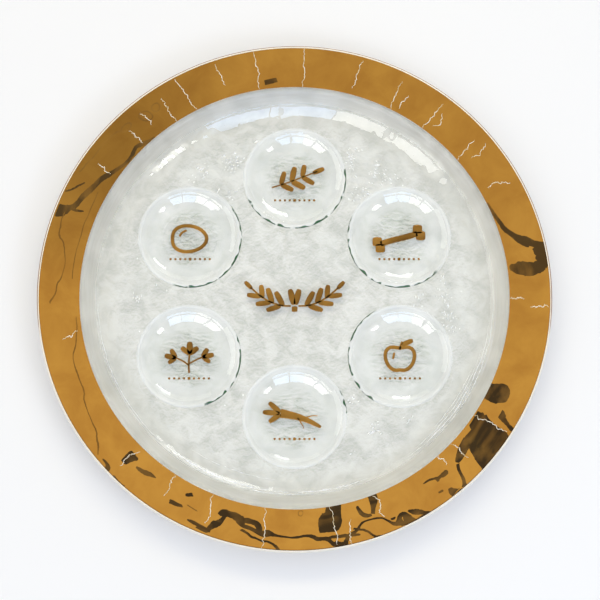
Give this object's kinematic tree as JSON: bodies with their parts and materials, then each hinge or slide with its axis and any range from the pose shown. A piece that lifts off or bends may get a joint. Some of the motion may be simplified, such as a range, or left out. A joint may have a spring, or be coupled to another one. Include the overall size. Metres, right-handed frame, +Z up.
{
  "type": "seder plate",
  "caption": "Round clear glass seder plate with a broad gold rim band, and loose clear glass bowls standing in a ring in its well",
  "frame": {"origin": "centre of the plate's flat underside, on the table", "axes": "+Z is up, out of the plate; -Y is the near side of the table, +X is to the reader's right"},
  "size_m": [0.406, 0.406, 0.0277],
  "materials": {
    "plate_glass": "gloss",
    "bowl_glass": "gloss",
    "fired_gold": "polished"
  },
  "bodies": {
    "plate": {"glass_plate": "plate_glass", "gold_rim_band": "fired_gold"},
    "bitter_herbs_bowl": {"bitter_herbs_bowl": "bowl_glass"},
    "shank_bone_bowl": {"shank_bone_bowl": "bowl_glass"},
    "haroset_bowl": {"haroset_bowl": "bowl_glass"},
    "horseradish_bowl": {"horseradish_bowl": "bowl_glass"},
    "parsley_bowl": {"parsley_bowl": "bowl_glass"},
    "egg_bowl": {"egg_bowl": "bowl_glass"}
  },
  "joints": [
    {"name": "bitter_herbs_bowl_lift", "type": "slide", "parent": "plate", "child": "bitter_herbs_bowl", "axis": [0, 0, 1], "range_m": [0, 0.06]},
    {"name": "shank_bone_bowl_lift", "type": "slide", "parent": "plate", "child": "shank_bone_bowl", "axis": [0, 0, 1], "range_m": [0, 0.06]},
    {"name": "haroset_bowl_lift", "type": "slide", "parent": "plate", "child": "haroset_bowl", "axis": [0, 0, 1], "range_m": [0, 0.06]},
    {"name": "horseradish_bowl_lift", "type": "slide", "parent": "plate", "child": "horseradish_bowl", "axis": [0, 0, 1], "range_m": [0, 0.06]},
    {"name": "parsley_bowl_lift", "type": "slide", "parent": "plate", "child": "parsley_bowl", "axis": [0, 0, 1], "range_m": [0, 0.06]},
    {"name": "egg_bowl_lift", "type": "slide", "parent": "plate", "child": "egg_bowl", "axis": [0, 0, 1], "range_m": [0, 0.06]}
  ]
}
